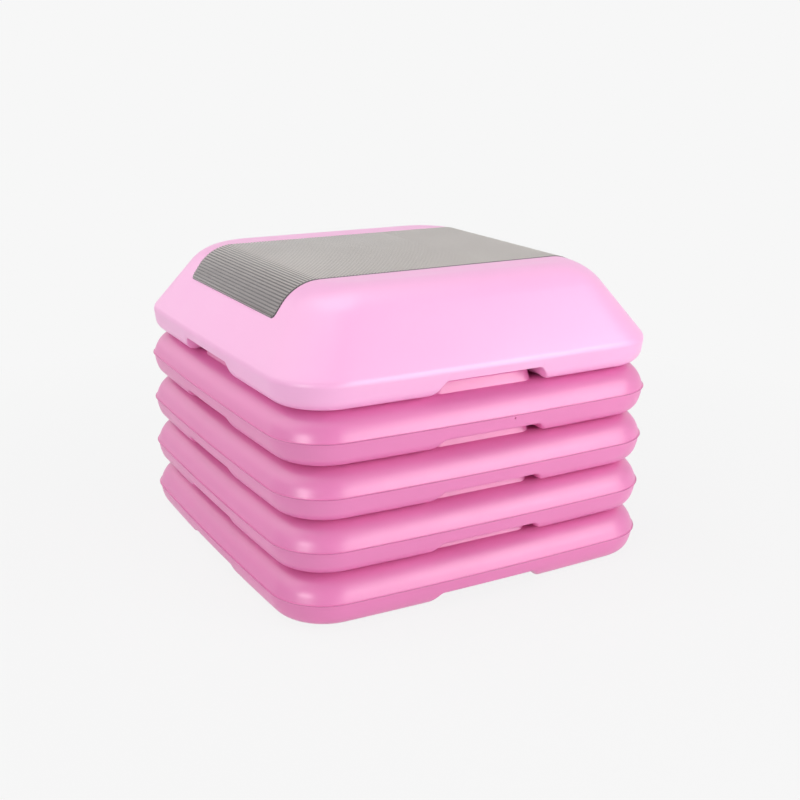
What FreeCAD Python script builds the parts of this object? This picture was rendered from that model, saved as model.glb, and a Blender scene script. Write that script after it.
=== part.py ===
import FreeCAD, Part
import math
import os

import Sketcher

# Aerobic step: a square platform with a ribbed mat, on a stack of equal risers that key into one another.
# Lengths are in millimetres and angles in degrees. +Z is up, and the origin is on the floor under the centre.

SIZES = {
    # Outline of a riser at its parting line, measured across the middles of two opposite sides
    "side": 415,
    "riser_corner": 56,
    "riser_bow": 2.9,
    # Height that one riser adds to the stack, and the profile of its rounded edge
    "riser_count": 4,
    "rise": 50.8,
    "parting_height": 26.5,
    "upper_draft": 18,
    "lower_draft": 12,
    "shoulder_radius": 28,
    "hem_radius": 16,
    # Flash left along the parting line, and the hole of the blow needle just below it
    "flash_proud": 1.2,
    "flash_thickness": 1,
    "vent_radius": 1.5,
    "vent_depth": 3,
    "vent_along": 21,
    "vent_drop": 3,
    # Notch in the middle of each bottom edge
    "notch_top_half": 50,
    "notch_foot_half": 68,
    "notch_depth": 85,
    "riser_notch_height": 11,
    "platform_notch_height": 15.6,
    # Key on top of a riser, which stands in the notch of the piece above, measured level with the top;
    # its root runs down into the rounded shoulder
    "key_inset": 29,
    "key_half": 57,
    "key_depth": 50,
    "key_height": 10.4,
    "key_root": 6,
    "key_draft": 25,
    "key_corner": 12,
    # Rubber foot with a push-in stem
    "foot_radius": 20,
    "foot_inset": 72.5,
    "foot_proud": 1.5,
    "foot_seat": 2.5,
    "foot_edge": 1,
    "foot_clearance": 0.3,
    "stem_radius": 4,
    "stem_length": 8,
    # Platform: its widest outline, the ridge, lies just inside that of the risers; the flanks lean in by
    # flank_run to the outline where they would meet the top without rounding
    "platform_height": 99,
    "platform_inset": 2.5,
    "platform_corner": 56,
    "platform_bow": 1.5,
    "platform_draft": 8,
    "platform_hem_radius": 14,
    "ridge_height": 27,
    "ridge_radius": 10,
    "flank_run": 50,
    "top_corner": 42,
    "top_bow": 0.6,
    "top_radius": 46,
    # Mat: it runs down the straight part of two flanks by mat_flank, measured along the slope
    "mat_flank": 15.3,
    "mat_width": 212,
    "mat_corner": 5,
    "mat_thickness": 3,
    "mat_proud": 0.4,
    "mat_gap": 0.6,
    "mat_bond": 0.3,
    "rib_pitch": 3.3,
    "rib_height": 1,
    # How far a cutting shape runs past the surface that it cuts
    "overrun": 2,
}

# Places that several pieces share, as expressions over the sheet
FOOT_PLACE = "(sizes.side / 2 - sizes.foot_inset)"
PLATFORM_SIDE = "(sizes.side - 2 * sizes.platform_inset)"
TOP_SIDE = f"({PLATFORM_SIDE} - 2 * sizes.flank_run)"
SHOULDER_TURN = "atan2(sizes.platform_height - sizes.ridge_height; sizes.flank_run)"
TOP_FLAT = f"({TOP_SIDE} / 2 - sizes.top_radius * tan({SHOULDER_TURN} / 2))"
SHOULDER_END = f"({TOP_FLAT} + sizes.top_radius * sin({SHOULDER_TURN}))"
MAT_REACH = f"({SHOULDER_END} + sizes.mat_flank * cos({SHOULDER_TURN}))"

# Share of a rib's pitch taken by its crest, and by the groove beside it
CREST_SHARE = 0.4
GROOVE_SHARE = 0.3

# How near two heights are to count as one
SAME_LEVEL = 0.0005

# Quarter turns of each riser in the stack, from the floor up
RISER_TURNS = (1, 2, 1, 0)

# Corners of a piece, in the order of the quarter turns from the first
CORNERS = ("front_left", "front_right", "rear_right", "rear_left")

QUARTERS = len(CORNERS)
FULL_TURN = 360
QUARTER_TURN = FULL_TURN / QUARTERS

# Numbers by which a sketch knows the points of a curve and its own axes
START, END, CENTRE = range(1, 4)
X_AXIS, Y_AXIS = range(-1, -3, -1)
ORIGIN_POINT = (X_AXIS, START)

doc = FreeCAD.newDocument("aerobic_step")
sheet = doc.addObject("Spreadsheet::Sheet", "sizes")
for row, (alias, value) in enumerate(SIZES.items(), start=1):
    sheet.set(f"A{row}", alias)
    sheet.set(f"B{row}", str(value))
    sheet.setAlias(f"B{row}", alias)
doc.recompute()


def amount(expression):
    """Number that an expression over the sheet gives."""
    return float(sheet.evalExpression(expression))


def size(alias):
    return amount(f"sizes.{alias}")


def origin_feature(body, role):
    return next(feature for feature in body.Origin.OriginFeatures if feature.Role == role)


def new_body(label):
    body = doc.addObject("PartDesign::Body", label)
    body.Label = label
    return body


def new_sketch(body, name, plane, offset="0"):
    """Sketch on one of the body's own origin planes, moved along that plane's normal."""
    sketch = body.newObject("Sketcher::SketchObject", name)
    sketch.AttachmentSupport = [(origin_feature(body, plane), "")]
    sketch.MapMode = "FlatFace"
    sketch.setExpression("AttachmentOffset.Base.z", offset)
    return sketch


def constrain(sketch, kind, *references):
    return sketch.addConstraint(Sketcher.Constraint(kind, *references))


def dimension(sketch, name, expression, kind, *references):
    """Named constraint whose value follows an expression over the sheet."""
    index = constrain(sketch, kind, *references, amount(expression))
    sketch.renameConstraint(index, name)
    sketch.setExpression(f"Constraints.{name}", expression)


def place_point(sketch, name, point, across, along):
    """Hold a point of the sketch at two expressions measured from the origin."""
    for axis, line, expression in (("X", Y_AXIS, across), ("Y", X_AXIS, along)):
        value = amount(expression)
        if value > 0:
            dimension(sketch, f"{name}_{axis}", expression, f"Distance{axis}", *ORIGIN_POINT, *point)
        elif value < 0:
            dimension(sketch, f"{name}_{axis}", f"-({expression})", f"Distance{axis}", *point, *ORIGIN_POINT)
        else:
            constrain(sketch, "PointOnObject", *point, line)


def polygon(sketch, points):
    """Closed run of straight lines through points given as pairs of expressions."""
    spots = [FreeCAD.Vector(amount(across), amount(along)) for across, along in points]
    lines = [
        sketch.addGeometry(Part.LineSegment(spot, spots[(index + 1) % len(spots)]))
        for index, spot in enumerate(spots)
    ]
    for index, line in enumerate(lines):
        constrain(sketch, "Coincident", line, END, lines[(index + 1) % len(lines)], START)
        place_point(sketch, f"point_{index}", (line, START), *points[index])


def bowed_square(body, name, side, corner, bow, height):
    """Level square outline with round corners, whose sides bow outwards in shallow arcs."""
    sketch = new_sketch(body, name, "XY_Plane", height)
    arc_radius = f"((({side}) / 2 - ({corner}))^2 + ({bow})^2) / (2 * ({bow}))"
    setback = f"{arc_radius} - ({side}) / 2"
    side_radius, corner_radius, back = amount(arc_radius), amount(corner), amount(setback)
    reach = math.sqrt(2 * (side_radius - corner_radius) ** 2 - back**2)
    corner_centre = (reach - back) / 2
    half_angle = math.atan2(corner_centre, corner_centre + back)
    up = FreeCAD.Vector(0, 0, 1)
    sides = []
    corners = []
    for quarter in range(QUARTERS):
        turn = math.radians(quarter * QUARTER_TURN)
        spin = FreeCAD.Rotation(up, quarter * QUARTER_TURN)
        side_circle = Part.Circle(spin.multVec(FreeCAD.Vector(-back, 0)), up, side_radius)
        sides.append(sketch.addGeometry(Part.ArcOfCircle(side_circle, turn - half_angle, turn + half_angle)))
        corner_spot = spin.multVec(FreeCAD.Vector(corner_centre, corner_centre))
        corner_circle = Part.Circle(corner_spot, up, corner_radius)
        corner_end = turn + math.radians(QUARTER_TURN) - half_angle
        corners.append(sketch.addGeometry(Part.ArcOfCircle(corner_circle, turn + half_angle, corner_end)))
    for quarter in range(QUARTERS):
        constrain(sketch, "Tangent", sides[quarter], END, corners[quarter], START)
        constrain(sketch, "Tangent", corners[quarter], END, sides[(quarter + 1) % QUARTERS], START)
    for quarter in range(1, QUARTERS):
        constrain(sketch, "Equal", sides[0], sides[quarter])
        constrain(sketch, "Equal", corners[0], corners[quarter])
    dimension(sketch, "side_radius", arc_radius, "Radius", sides[0])
    dimension(sketch, "corner_radius", corner, "Radius", corners[0])
    for quarter, (across, along) in enumerate((("-1", "0"), ("0", "-1"), ("1", "0"), ("0", "1"))):
        centre = (sides[quarter], CENTRE)
        place_point(sketch, f"centre_{quarter}", centre, f"{across} * ({setback})", f"{along} * ({setback})")
    return sketch


def round_rectangle(sketch, half_across, half_along, corner, middle):
    """Rectangle with round corners; middle is how far its centre lies along the sketch's second axis."""
    wide, tall, radius, centre = (amount(text) for text in (half_across, half_along, corner, middle))
    inner_wide, inner_tall = wide - radius, tall - radius
    up = FreeCAD.Vector(0, 0, 1)
    right = sketch.addGeometry(
        Part.LineSegment(FreeCAD.Vector(wide, centre - inner_tall), FreeCAD.Vector(wide, centre + inner_tall))
    )
    upper = sketch.addGeometry(
        Part.LineSegment(
            FreeCAD.Vector(inner_wide, centre + tall), FreeCAD.Vector(-inner_wide, centre + tall)
        )
    )
    left = sketch.addGeometry(
        Part.LineSegment(FreeCAD.Vector(-wide, centre + inner_tall), FreeCAD.Vector(-wide, centre - inner_tall))
    )
    lower = sketch.addGeometry(
        Part.LineSegment(
            FreeCAD.Vector(-inner_wide, centre - tall), FreeCAD.Vector(inner_wide, centre - tall)
        )
    )
    lines = (right, upper, left, lower)
    arcs = []
    for quarter, (across, along) in enumerate(((1, 1), (-1, 1), (-1, -1), (1, -1))):
        spot = FreeCAD.Vector(across * inner_wide, centre + along * inner_tall)
        start = math.radians(quarter * QUARTER_TURN)
        arc = Part.ArcOfCircle(Part.Circle(spot, up, radius), start, start + math.radians(QUARTER_TURN))
        arcs.append(sketch.addGeometry(arc))
    for quarter in range(QUARTERS):
        constrain(sketch, "Tangent", lines[quarter], END, arcs[quarter], START)
        constrain(sketch, "Tangent", arcs[quarter], END, lines[(quarter + 1) % QUARTERS], START)
    for quarter in range(1, QUARTERS):
        constrain(sketch, "Equal", arcs[0], arcs[quarter])
    constrain(sketch, "Horizontal", upper)
    constrain(sketch, "Vertical", right)
    dimension(sketch, "corner", corner, "Radius", arcs[0])
    across, along = f"(({half_across}) - ({corner}))", f"(({half_along}) - ({corner}))"
    place_point(sketch, "first", (arcs[0], CENTRE), across, f"({middle}) + {along}")
    place_point(sketch, "third", (arcs[2], CENTRE), f"-{across}", f"({middle}) - {along}")


def notch_profile(sketch, top_half, foot_half, top, foot, bottom):
    """Arch whose ends run out to the foot in two equal arcs, level at the top and at the foot."""
    high, low = amount(top), amount(foot)
    inner, outer = amount(top_half), amount(foot_half)
    run, drop = outer - inner, high - low
    radius = (run**2 + drop**2) / (4 * drop)
    sweep = 2 * math.atan2(drop, run)
    up = FreeCAD.Vector(0, 0, 1)
    quarter = math.radians(QUARTER_TURN)
    roof = sketch.addGeometry(Part.LineSegment(FreeCAD.Vector(-inner, high), FreeCAD.Vector(inner, high)))
    floor = sketch.addGeometry(
        Part.LineSegment(FreeCAD.Vector(-outer, amount(bottom)), FreeCAD.Vector(outer, amount(bottom)))
    )
    constrain(sketch, "Horizontal", roof)
    for side, end in ((1, END), (-1, START)):
        inner_circle = Part.Circle(FreeCAD.Vector(side * inner, high - radius), up, radius)
        outer_circle = Part.Circle(FreeCAD.Vector(side * outer, low + radius), up, radius)
        if side > 0:
            roof_arc = Part.ArcOfCircle(inner_circle, quarter - sweep, quarter)
            foot_arc = Part.ArcOfCircle(outer_circle, 3 * quarter - sweep, 3 * quarter)
            roof_end, meeting, foot_end = END, START, END
        else:
            roof_arc = Part.ArcOfCircle(inner_circle, quarter, quarter + sweep)
            foot_arc = Part.ArcOfCircle(outer_circle, 3 * quarter, 3 * quarter + sweep)
            roof_end, meeting, foot_end = START, END, START
        upper = sketch.addGeometry(roof_arc)
        lower = sketch.addGeometry(foot_arc)
        skirt = sketch.addGeometry(
            Part.LineSegment(
                FreeCAD.Vector(side * outer, low), FreeCAD.Vector(side * outer, amount(bottom))
            )
        )
        name = "right" if side > 0 else "left"
        constrain(sketch, "Tangent", roof, end, upper, roof_end)
        constrain(sketch, "Tangent", upper, meeting, lower, meeting)
        constrain(sketch, "Equal", upper, lower)
        constrain(sketch, "Coincident", lower, foot_end, skirt, START)
        constrain(sketch, "Coincident", skirt, END, floor, end)
        constrain(sketch, "Vertical", lower, CENTRE, lower, foot_end)
        dimension(sketch, f"{name}_inner", top_half, "DistanceX", *ends_from_origin((roof, end), side))
        place_point(sketch, f"{name}_outer", (skirt, START), f"{side} * ({foot_half})", foot)
        place_point(sketch, f"{name}_bottom", (skirt, END), f"{side} * ({foot_half})", bottom)
    dimension(sketch, "top", top, "DistanceY", *ORIGIN_POINT, roof, START)


def ends_from_origin(point, side):
    """Two ends of a level distance between the origin and a point, in the order that keeps it positive."""
    return (*ORIGIN_POINT, *point) if side > 0 else (*point, *ORIGIN_POINT)


def pad(body, sketch, name, length, draft="0", reverse=False):
    feature = body.newObject("PartDesign::Pad", name)
    feature.Profile = sketch
    feature.Reversed = reverse
    feature.setExpression("Length", length)
    feature.setExpression("TaperAngle", f"-({draft})")
    doc.recompute()
    return feature


def pocket(body, sketch, name, length, reverse=False):
    """Cut that must take material away."""
    before = body.Shape.Volume
    feature = body.newObject("PartDesign::Pocket", name)
    feature.Profile = sketch
    feature.Reversed = reverse
    feature.setExpression("Length", length)
    doc.recompute()
    if not feature.Shape.Volume < before:
        raise RuntimeError(f"{body.Label}: {name} cuts nothing")
    return feature


def edges_at(feature, height):
    """Names of a feature's edges that lie level at a height."""
    level = amount(height)
    return [
        f"Edge{index}"
        for index, edge in enumerate(feature.Shape.Edges, start=1)
        if abs(edge.BoundBox.ZMin - level) < SAME_LEVEL and abs(edge.BoundBox.ZMax - level) < SAME_LEVEL
    ]


def fillet(body, base, name, height, radius):
    feature = body.newObject("PartDesign::Fillet", name)
    feature.Base = (base, edges_at(base, height))
    feature.setExpression("Radius", radius)
    doc.recompute()
    return feature


def quarter_pattern(body, features):
    """Repeat features round the vertical axis, once for each side."""
    pattern = body.newObject("PartDesign::PolarPattern", "quarters")
    pattern.Originals = features
    pattern.Axis = (origin_feature(body, "Z_Axis"), [""])
    pattern.Angle = FULL_TURN
    pattern.Occurrences = QUARTERS
    body.Tip = pattern
    doc.recompute()
    return pattern


def notch(body, side, height):
    """Notch cut inwards from the middle of the front bottom edge."""
    sketch = new_sketch(body, "notch_outline", "XZ_Plane", f"({side}) / 2 - sizes.notch_depth")
    top = f"sizes.foot_proud + {height}"
    foot = "sizes.foot_proud - sizes.overrun / 2"
    notch_profile(sketch, "sizes.notch_top_half", "sizes.notch_foot_half", top, foot, f"{foot} - sizes.overrun")
    return pocket(body, sketch, "notch", "sizes.notch_depth + sizes.overrun", reverse=True)


def foot_socket(body):
    """Round seat and stem hole for the front left foot."""
    cuts = []
    for name, radius, depth in (
        ("foot_socket", "sizes.foot_radius + sizes.foot_clearance", "sizes.foot_seat"),
        (
            "stem_hole",
            "sizes.stem_radius + sizes.foot_clearance",
            "sizes.foot_seat + sizes.stem_length + sizes.foot_clearance",
        ),
    ):
        sketch = new_sketch(body, f"{name}_outline", "XY_Plane", "sizes.foot_proud")
        place = -amount(FOOT_PLACE)
        circle = sketch.addGeometry(
            Part.Circle(FreeCAD.Vector(place, place), FreeCAD.Vector(0, 0, 1), amount(radius))
        )
        dimension(sketch, "radius", radius, "Radius", circle)
        place_point(sketch, "centre", (circle, CENTRE), f"-{FOOT_PLACE}", f"-{FOOT_PLACE}")
        cuts.append(pocket(body, sketch, name, depth, reverse=True))
    return cuts


def key(body):
    """Raised lug with drafted sides at the middle of the front edge of a riser's top."""
    sketch = new_sketch(body, "key_outline", "XY_Plane", "sizes.rise - sizes.key_root")
    spread = "sizes.key_root * tan(sizes.key_draft)"
    middle = "sizes.key_inset + sizes.key_depth / 2 - sizes.side / 2"
    round_rectangle(
        sketch,
        f"sizes.key_half + {spread}",
        f"sizes.key_depth / 2 + {spread}",
        f"sizes.key_corner + {spread}",
        middle,
    )
    return pad(body, sketch, "key", "sizes.key_root + sizes.key_height", "sizes.key_draft")


def vent(body):
    """Needle hole in the front flank, just below the parting line."""
    sketch = new_sketch(body, "vent_outline", "XZ_Plane", "sizes.side / 2 - sizes.vent_depth")
    height = "sizes.parting_height - sizes.vent_drop"
    circle = sketch.addGeometry(
        Part.Circle(
            FreeCAD.Vector(size("vent_along"), amount(height)), FreeCAD.Vector(0, 0, 1), size("vent_radius")
        )
    )
    dimension(sketch, "radius", "sizes.vent_radius", "Radius", circle)
    place_point(sketch, "centre", (circle, CENTRE), "sizes.vent_along", height)
    return pocket(body, sketch, "vent", "sizes.vent_depth + sizes.overrun", reverse=True)


def make_riser(number):
    """Closed moulding of two drafted halves that meet at the parting line."""
    body = new_body(f"riser_{number}_shell")
    side = "sizes.side"
    parting = bowed_square(
        body, "parting_outline", side, "sizes.riser_corner", "sizes.riser_bow", "sizes.parting_height"
    )
    pad(body, parting, "upper_half", "sizes.rise - sizes.parting_height", "sizes.upper_draft")
    lower = pad(
        body, parting, "lower_half", "sizes.parting_height - sizes.foot_proud", "sizes.lower_draft", reverse=True
    )
    shoulder = fillet(body, lower, "shoulder", "sizes.rise", "sizes.shoulder_radius")
    fillet(body, shoulder, "hem", "sizes.foot_proud", "sizes.hem_radius")
    flash = bowed_square(
        body,
        "flash_outline",
        f"{side} + 2 * sizes.flash_proud",
        "sizes.riser_corner + sizes.flash_proud",
        "sizes.riser_bow",
        "sizes.parting_height - sizes.flash_thickness / 2",
    )
    pad(body, flash, "flash", "sizes.flash_thickness")
    quarter_pattern(body, [notch(body, side, "sizes.riser_notch_height"), *foot_socket(body), key(body)])
    vent(body)
    turn = QUARTER_TURN * RISER_TURNS[number - 1]
    body.Placement.Rotation = FreeCAD.Rotation(FreeCAD.Vector(0, 0, 1), turn)
    body.setExpression("Placement.Base.z", f"{number - 1} * sizes.rise")
    return body


def make_foot(label, corner, height):
    """Rubber pad with a rounded tread edge and a stem that pushes into the moulding."""
    body = new_body(label)
    sketch = new_sketch(body, "profile", "XZ_Plane")
    back = "sizes.foot_proud + sizes.foot_seat"
    points = (
        ("0", "0"),
        ("sizes.foot_radius - sizes.foot_edge", "0"),
        ("sizes.foot_radius", "sizes.foot_edge"),
        ("sizes.foot_radius", back),
        ("sizes.stem_radius", back),
        ("sizes.stem_radius", f"{back} + sizes.stem_length - sizes.foot_edge"),
        ("sizes.stem_radius - sizes.foot_edge", f"{back} + sizes.stem_length"),
        ("0", f"{back} + sizes.stem_length"),
    )
    polygon(sketch, points)
    turned = body.newObject("PartDesign::Revolution", "turned")
    turned.Profile = sketch
    turned.ReferenceAxis = (origin_feature(body, "Z_Axis"), [""])
    turned.Angle = FULL_TURN
    spin = FreeCAD.Rotation(FreeCAD.Vector(0, 0, 1), QUARTER_TURN * corner)
    signs = spin.multVec(FreeCAD.Vector(-1, -1))
    body.setExpression("Placement.Base.x", f"{round(signs.x)} * {FOOT_PLACE}")
    body.setExpression("Placement.Base.y", f"{round(signs.y)} * {FOOT_PLACE}")
    body.setExpression("Placement.Base.z", height)
    doc.recompute()
    return body


def make_feet(owner, height):
    return [make_foot(f"{owner}_foot_{name}", corner, height) for corner, name in enumerate(CORNERS)]


def platform_blank():
    """Platform before the mat's recess: a short drafted skirt, a ridge, and sloping flanks up to the top."""
    body = new_body("platform_blank")
    ridge = bowed_square(
        body, "ridge_outline", PLATFORM_SIDE, "sizes.platform_corner", "sizes.platform_bow", "sizes.ridge_height"
    )
    top = bowed_square(
        body, "top_outline", TOP_SIDE, "sizes.top_corner", "sizes.top_bow", "sizes.platform_height"
    )
    pad(
        body, ridge, "skirt", "sizes.ridge_height - sizes.foot_proud", "sizes.platform_draft", reverse=True
    )
    flanks = body.newObject("PartDesign::AdditiveLoft", "flanks")
    flanks.Profile = ridge
    flanks.Sections = [top]
    flanks.Ruled = True
    doc.recompute()
    shoulder = fillet(body, flanks, "shoulder", "sizes.platform_height", "sizes.top_radius")
    softened = fillet(body, shoulder, "soft_ridge", "sizes.ridge_height", "sizes.ridge_radius")
    fillet(body, softened, "hem", "sizes.foot_proud", "sizes.platform_hem_radius")
    quarter_pattern(body, [notch(body, PLATFORM_SIDE, "sizes.platform_notch_height"), *foot_socket(body)])
    return body


class MatPath:
    """Section of the platform's upper surface on its centre line: top, rounded shoulder and flank."""

    def __init__(self):
        self.top = size("platform_height")
        self.radius = size("top_radius")
        self.turn = math.atan2(self.top - size("ridge_height"), size("flank_run"))
        self.flat = amount(TOP_FLAT)
        self.bend = self.radius * self.turn
        past_edge = size("mat_thickness") + size("mat_bond") + size("mat_gap") + size("overrun")
        self.half = self.flat + self.bend + size("mat_flank") + past_edge / math.cos(self.turn)

    def point(self, distance, lift):
        """Point at a signed distance along the surface from its middle, raised off it by lift."""
        side = math.copysign(1, distance)
        along = abs(distance)
        angle = min(max(along - self.flat, 0) / self.radius, self.turn)
        past = max(along - self.flat - self.bend, 0)
        across = min(along, self.flat) + (self.radius + lift) * math.sin(angle) + past * math.cos(angle)
        height = self.top - self.radius + (self.radius + lift) * math.cos(angle) - past * math.sin(angle)
        return FreeCAD.Vector(side * across, 0, height)

    def level(self, lift):
        """Edges of the surface raised by lift, from its right end to its left end."""
        right = self.flat + self.bend
        middle = self.flat + self.bend / 2
        stops = [self.point(place, lift) for place in (self.half, right, self.flat)]
        others = [self.point(-place, lift) for place in (self.flat, right, self.half)]
        return [
            Part.makeLine(stops[0], stops[1]),
            Part.Arc(stops[1], self.point(middle, lift), stops[2]).toShape(),
            Part.makeLine(stops[2], others[0]),
            Part.Arc(others[0], self.point(-middle, lift), others[1]).toShape(),
            Part.makeLine(others[1], others[2]),
        ]

    def ribbed(self, crest):
        """Edges of a ribbed surface from its left end to its right end, with a rib on the middle."""
        pitch = size("rib_pitch")
        count = math.floor(self.half / pitch - 1 / 2)
        groove = crest - size("rib_height")
        points = [self.point(-self.half, groove)]
        for rib in range(-count, count + 1):
            for share, lift in (
                (-(1 - GROOVE_SHARE) / 2, groove),
                (-CREST_SHARE / 2, crest),
                (CREST_SHARE / 2, crest),
                ((1 - GROOVE_SHARE) / 2, groove),
            ):
                points.append(self.point((rib + share) * pitch, lift))
        points.append(self.point(self.half, groove))
        return [Part.makeLine(start, end) for start, end in zip(points, points[1:])]


def extrude_across(edges, name, width):
    """Solid of a closed run of edges on the centre plane, carried the same width to both sides."""
    face = Part.Face(Part.Wire(edges))
    face.translate(FreeCAD.Vector(0, -width / 2, 0))
    blank = doc.addObject("Part::Feature", name)
    blank.Label = name
    blank.Shape = face.extrude(FreeCAD.Vector(0, width, 0))
    return blank


def plan_prism(name, growth):
    """Upright block with the mat's outline from above, larger all round by growth."""
    body = new_body(name)
    sketch = new_sketch(body, "plan", "XY_Plane", "sizes.ridge_height")
    round_rectangle(
        sketch,
        f"{MAT_REACH} + {growth}",
        f"sizes.mat_width / 2 + {growth}",
        f"sizes.mat_corner + {growth}",
        "0",
    )
    pad(body, sketch, "prism", "sizes.platform_height - sizes.ridge_height + sizes.overrun")
    return body


def combine(kind, label, base, tool):
    result = doc.addObject(kind, label)
    result.Label = label
    result.Base = base
    result.Tool = tool
    return result


def make_mat(path):
    """Ribbed mat of even thickness over the top, the shoulders and part of two flanks."""
    width = size("mat_width") + size("overrun")
    under = path.level(-size("mat_thickness"))
    over = path.ribbed(size("mat_proud"))
    left = Part.makeLine(under[-1].Vertexes[-1].Point, over[0].Vertexes[0].Point)
    right = Part.makeLine(over[-1].Vertexes[-1].Point, under[0].Vertexes[0].Point)
    blank = extrude_across([*under, left, *over, right], "mat_blank", width)
    return combine("Part::Common", "step_mat", blank, plan_prism("mat_plan", "0"))


def make_platform(path):
    """Platform with the mat's recess cut into its top."""
    width = size("mat_width") + 2 * (size("mat_gap") + size("overrun"))
    bed = path.level(-size("mat_thickness") - size("mat_bond"))
    right = bed[0].Vertexes[0].Point
    left = bed[-1].Vertexes[-1].Point
    above = path.top + size("overrun")
    corners = [
        left,
        FreeCAD.Vector(left.x, 0, above),
        FreeCAD.Vector(right.x, 0, above),
        right,
    ]
    lid = [Part.makeLine(start, end) for start, end in zip(corners, corners[1:])]
    blank = extrude_across([*bed, *lid], "recess_blank", width)
    recess = combine("Part::Common", "mat_recess", blank, plan_prism("recess_plan", "sizes.mat_gap"))
    return combine("Part::Cut", "platform_shell", platform_blank(), recess)


def build():
    """All sub-parts, from the floor up."""
    pieces = []
    for number in range(1, round(size("riser_count")) + 1):
        pieces.append(make_riser(number))
        pieces += make_feet(f"riser_{number}", f"{number - 1} * sizes.rise")
    base = "sizes.riser_count * sizes.rise"
    path = MatPath()
    for piece in (make_platform(path), make_mat(path)):
        piece.setExpression("Placement.Base.z", base)
        pieces.append(piece)
    pieces += make_feet("platform", base)
    doc.recompute()
    return pieces


def check(pieces):
    """Stop before anything is written if an object failed or a sub-part is no sound solid."""
    for item in doc.Objects:
        if "Invalid" in item.State or "Error" in item.State:
            raise RuntimeError(f"{item.Label} failed: {item.State}")
    for piece in pieces:
        if piece.Shape.isNull() or not piece.Shape.isValid() or not piece.Shape.Solids:
            raise RuntimeError(f"{piece.Label} is not a sound solid")


pieces = build()
check(pieces)
os.makedirs("parts", exist_ok=True)
for piece in pieces:
    piece.Shape.exportStep(os.path.join("parts", f"{piece.Label}.step"))
    box = piece.Shape.BoundBox
    print(f"{piece.Label}: {piece.Shape.Volume:.0f} mm3, z {box.ZMin:.2f} to {box.ZMax:.2f}")
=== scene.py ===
# %% [markdown]
# # An aerobic step on its stack of risers
# The object is a pale pink platform with a grey ribbed mat, standing on four equal, darker risers.
# Every moulding is blown polyethylene with a satin skin, and every piece stands on rubber feet.
# The CAD model gives each piece its place, in metres and in one frame. This file dresses it: the
# mouldings are modelled again with the soft lips and seams that blow moulding leaves, and every surface
# gets a finish.

# %% Load the frame
import math

import bmesh
import bpy
from mathutils import Matrix, Vector


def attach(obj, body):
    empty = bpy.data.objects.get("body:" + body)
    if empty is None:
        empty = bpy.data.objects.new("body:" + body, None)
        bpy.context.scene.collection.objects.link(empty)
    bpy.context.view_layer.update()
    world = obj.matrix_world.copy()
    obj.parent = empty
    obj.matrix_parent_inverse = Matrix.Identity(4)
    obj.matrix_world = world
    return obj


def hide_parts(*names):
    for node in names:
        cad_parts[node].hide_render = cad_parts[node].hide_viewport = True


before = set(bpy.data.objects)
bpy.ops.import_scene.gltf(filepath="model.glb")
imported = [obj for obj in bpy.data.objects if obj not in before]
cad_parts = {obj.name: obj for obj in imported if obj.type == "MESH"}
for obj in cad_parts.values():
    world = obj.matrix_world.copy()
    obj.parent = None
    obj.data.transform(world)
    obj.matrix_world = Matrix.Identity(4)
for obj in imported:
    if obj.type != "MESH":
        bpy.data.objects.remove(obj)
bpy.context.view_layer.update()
scene = bpy.context.scene

# %% [markdown]
# The camera comes first, because every later choice is judged through it. It could be placed by eye, but
# the parting lines of the risers are known to be square, level and evenly spaced, so a fit to those lines
# gives the direction, the distance and the lens together. The small roll and shift are the photograph's
# own framing. Directions are given by an azimuth, which is 0 at the front, and an elevation.

# %% Camera
VIEW_AZIMUTH = -29.12
VIEW_ELEVATION = 16.74
VIEW_ROLL = 0.45
VIEW_DISTANCE = 1.2534
AIM = Vector((0, 0, 0.15))
SENSOR_WIDTH = 36
LENS = 52.62
SHIFT_ACROSS = 0.0159
SHIFT_UP = -0.0115


def direction(azimuth, elevation):
    """Unit vector from the object towards a direction given in degrees."""
    turn, rise = math.radians(azimuth), math.radians(elevation)
    level = math.cos(rise)
    return Vector((math.sin(turn) * level, -math.cos(turn) * level, math.sin(rise)))


towards_camera = direction(VIEW_AZIMUTH, VIEW_ELEVATION)
lens = bpy.data.cameras.new("camera")
lens.sensor_width = SENSOR_WIDTH
lens.lens = LENS
lens.shift_x = SHIFT_ACROSS
lens.shift_y = SHIFT_UP
camera = bpy.data.objects.new("camera", lens)
scene.collection.objects.link(camera)
level_view = (-towards_camera).to_track_quat("-Z", "Y").to_matrix().to_4x4()
camera_place = Matrix.Translation(AIM + towards_camera * VIEW_DISTANCE)
camera.matrix_world = camera_place @ level_view @ Matrix.Rotation(math.radians(VIEW_ROLL), 4, "Z")
scene.camera = camera
print("camera at", [round(value, 3) for value in camera.matrix_world.translation])

# %% [markdown]
# All the mouldings share one kind of outline: a square with round corners whose sides bow out a little,
# as large flat panels do when they cool. It is walked in columns, the same number on every ring, so that
# any two rings can be joined by plain quads. The columns crowd together near the ends of the notches,
# where the shape turns.

# %% Outline in columns
MM = 0.001
QUARTERS = 4
QUARTER_TURN = math.pi / 2
CORNER_STEPS = 16
# Runs of columns along half a side, each with its start, its end and its count
SIDE_RUNS = ((0, 44, 6), (44, 74, 20), (74, 148, 9))


def stops(start, end, count):
    """Evenly spaced values from start up to, but not with, end."""
    return [start + (end - start) * step / count for step in range(count)]


along_half = [place for run in SIDE_RUNS for place in stops(*run)] + [SIDE_RUNS[-1][1]]
along = [-place for place in reversed(along_half[1:])] + along_half


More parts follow.
